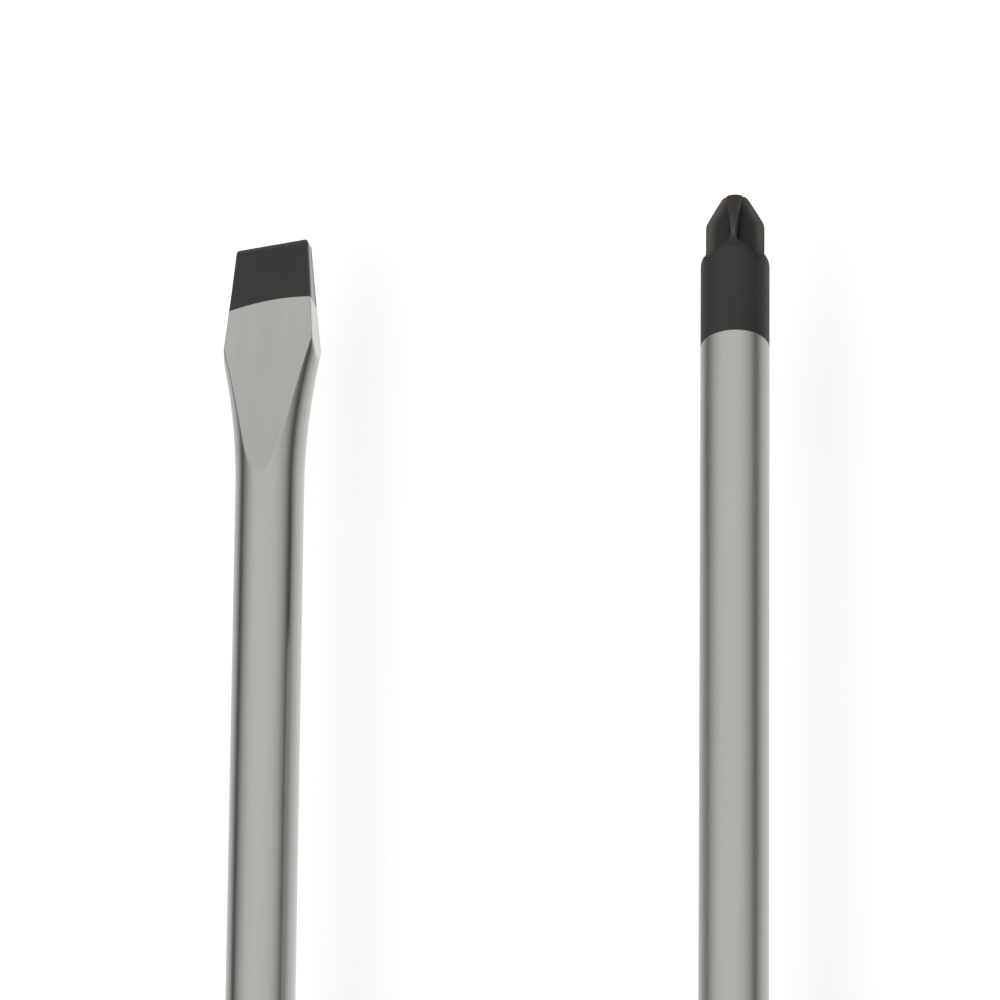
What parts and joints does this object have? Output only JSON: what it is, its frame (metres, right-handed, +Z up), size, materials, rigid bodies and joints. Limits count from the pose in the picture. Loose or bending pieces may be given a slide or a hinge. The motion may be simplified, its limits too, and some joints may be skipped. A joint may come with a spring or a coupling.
{
  "type": "screwdriver pair",
  "caption": "Straight slotted and cross-head hand screwdrivers lying side by side, with round satin-chrome shanks, black tips and six-sided soft-grip handles.",
  "frame": {"origin": "middle of the pair's bounding box, on the surface that the handles lie on", "axes": "+Y along the shanks towards the tips, +Z up from the surface, +X from the slotted driver to the cross-head driver"},
  "size_m": [0.0738, 0.208, 0.028],
  "materials": {
    "blade_steel": "satin chrome plating on tool steel, with a matt black finish at the tip",
    "core_plastic": "hard inner core, moulded onto the tang, not seen",
    "hard_plastic": "hard moulded plastic with a fine satin gloss",
    "marker_plastic": "pale grey moulded plastic",
    "soft_grip": "soft matt over-moulded grip with grooves and treads"
  },
  "bodies": {
    "slotted_driver": {"slotted_blade": "blade_steel", "slotted_handle_core": "core_plastic", "slotted_handle_body": "hard_plastic", "slotted_marker_ring": "marker_plastic", "slotted_grip": "soft_grip", "slotted_end_cap": "marker_plastic"},
    "cross_driver": {"cross_blade": "blade_steel", "cross_handle_core": "core_plastic", "cross_handle_body": "hard_plastic", "cross_marker_ring": "marker_plastic", "cross_grip": "soft_grip", "cross_end_cap": "marker_plastic"}
  },
  "joints": [
    {"name": "cross_driver_lift", "type": "slide", "parent": "slotted_driver", "child": "cross_driver", "axis": [0, 0, 1], "range_m": [0, 0.05]}
  ]
}
